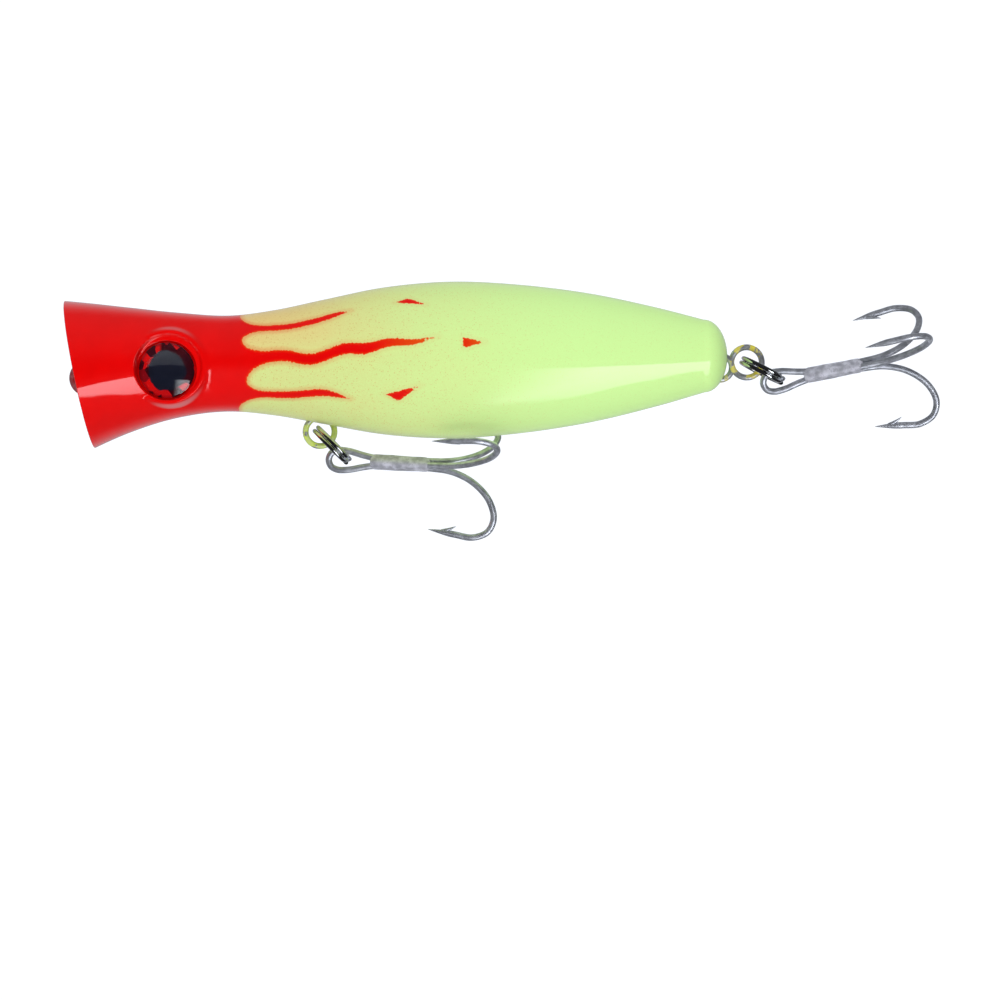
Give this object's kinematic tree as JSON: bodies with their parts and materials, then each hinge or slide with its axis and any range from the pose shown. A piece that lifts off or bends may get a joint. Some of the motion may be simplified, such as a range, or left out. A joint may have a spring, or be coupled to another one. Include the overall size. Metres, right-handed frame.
{
  "type": "topwater popper",
  "caption": "Floating topwater fishing lure with a cupped mouth, domed eyes, internal rattles, and a treble hook on a split ring at the belly and at the tail.",
  "frame": {"origin": "centre of the line tie's eye, inside the cupped mouth", "axes": "+X aft from the mouth to the tail, +Z to the lure's back, and -Y to its left side"},
  "size_m": [0.1583, 0.0306, 0.047],
  "materials": {
    "body_paint": "moulded body painted light green-yellow with a red head and red flames, under clear gloss",
    "painted_wire": "stainless wire over-sprayed with the head's dark red paint",
    "eyelet_wire": "stainless wire with worn traces of the body's green paint",
    "eye_foil": "red crackled foil with a dark pupil",
    "eye_resin": "clear domed resin",
    "ring_plating": "bright nickel plating",
    "hook_wire": "satin tinned hook wire",
    "braze": "matt grey speckled braze",
    "ball_steel": "polished bearing steel",
    "ballast_steel": "plain turned steel"
  },
  "bodies": {
    "lure_body": {"shell_left": "body_paint", "shell_right": "body_paint", "line_tie_eyelet": "painted_wire", "belly_eyelet": "eyelet_wire", "tail_eyelet": "eyelet_wire", "eye_foil_left": "eye_foil", "eye_foil_right": "eye_foil", "eye_lens_left": "eye_resin", "eye_lens_right": "eye_resin", "belly_weight": "ballast_steel", "tail_weight": "ballast_steel"},
    "front_rattle": {"rattle_ball_front": "ball_steel"},
    "rear_rattle": {"rattle_ball_rear": "ball_steel"},
    "belly_ring": {"belly_split_ring": "ring_plating"},
    "belly_hook": {"belly_hook_double": "hook_wire", "belly_hook_single": "hook_wire", "belly_hook_braze": "braze"},
    "tail_ring": {"tail_split_ring": "ring_plating"},
    "tail_hook": {"tail_hook_double": "hook_wire", "tail_hook_single": "hook_wire", "tail_hook_braze": "braze"}
  },
  "joints": [
    {"name": "belly_ring_swing", "type": "hinge", "parent": "lure_body", "child": "belly_ring", "pos_m": [0.042, 0, -0.0104], "axis": [0, 1, 0], "range_deg": [0, 85]},
    {"name": "belly_hook_swing", "type": "hinge", "parent": "belly_ring", "child": "belly_hook", "pos_m": [0.04689, 0, -0.01568], "axis": [0, 1, 0], "range_deg": [0, 60]},
    {"name": "tail_ring_swing", "type": "hinge", "parent": "lure_body", "child": "tail_ring", "pos_m": [0.11948, 0, 0.00091], "axis": [0, 1, 0], "range_deg": [-60, 60]},
    {"name": "tail_hook_swing", "type": "hinge", "parent": "tail_ring", "child": "tail_hook", "pos_m": [0.12579, 0, -0.00245], "axis": [0, 1, 0], "range_deg": [-60, 60]},
    {"name": "front_rattle_slide", "type": "slide", "parent": "lure_body", "child": "front_rattle", "axis": [1, 0, 0], "range_m": [0, 0.005]},
    {"name": "rear_rattle_slide", "type": "slide", "parent": "lure_body", "child": "rear_rattle", "axis": [1, 0, 0], "range_m": [0, 0.005]}
  ]
}
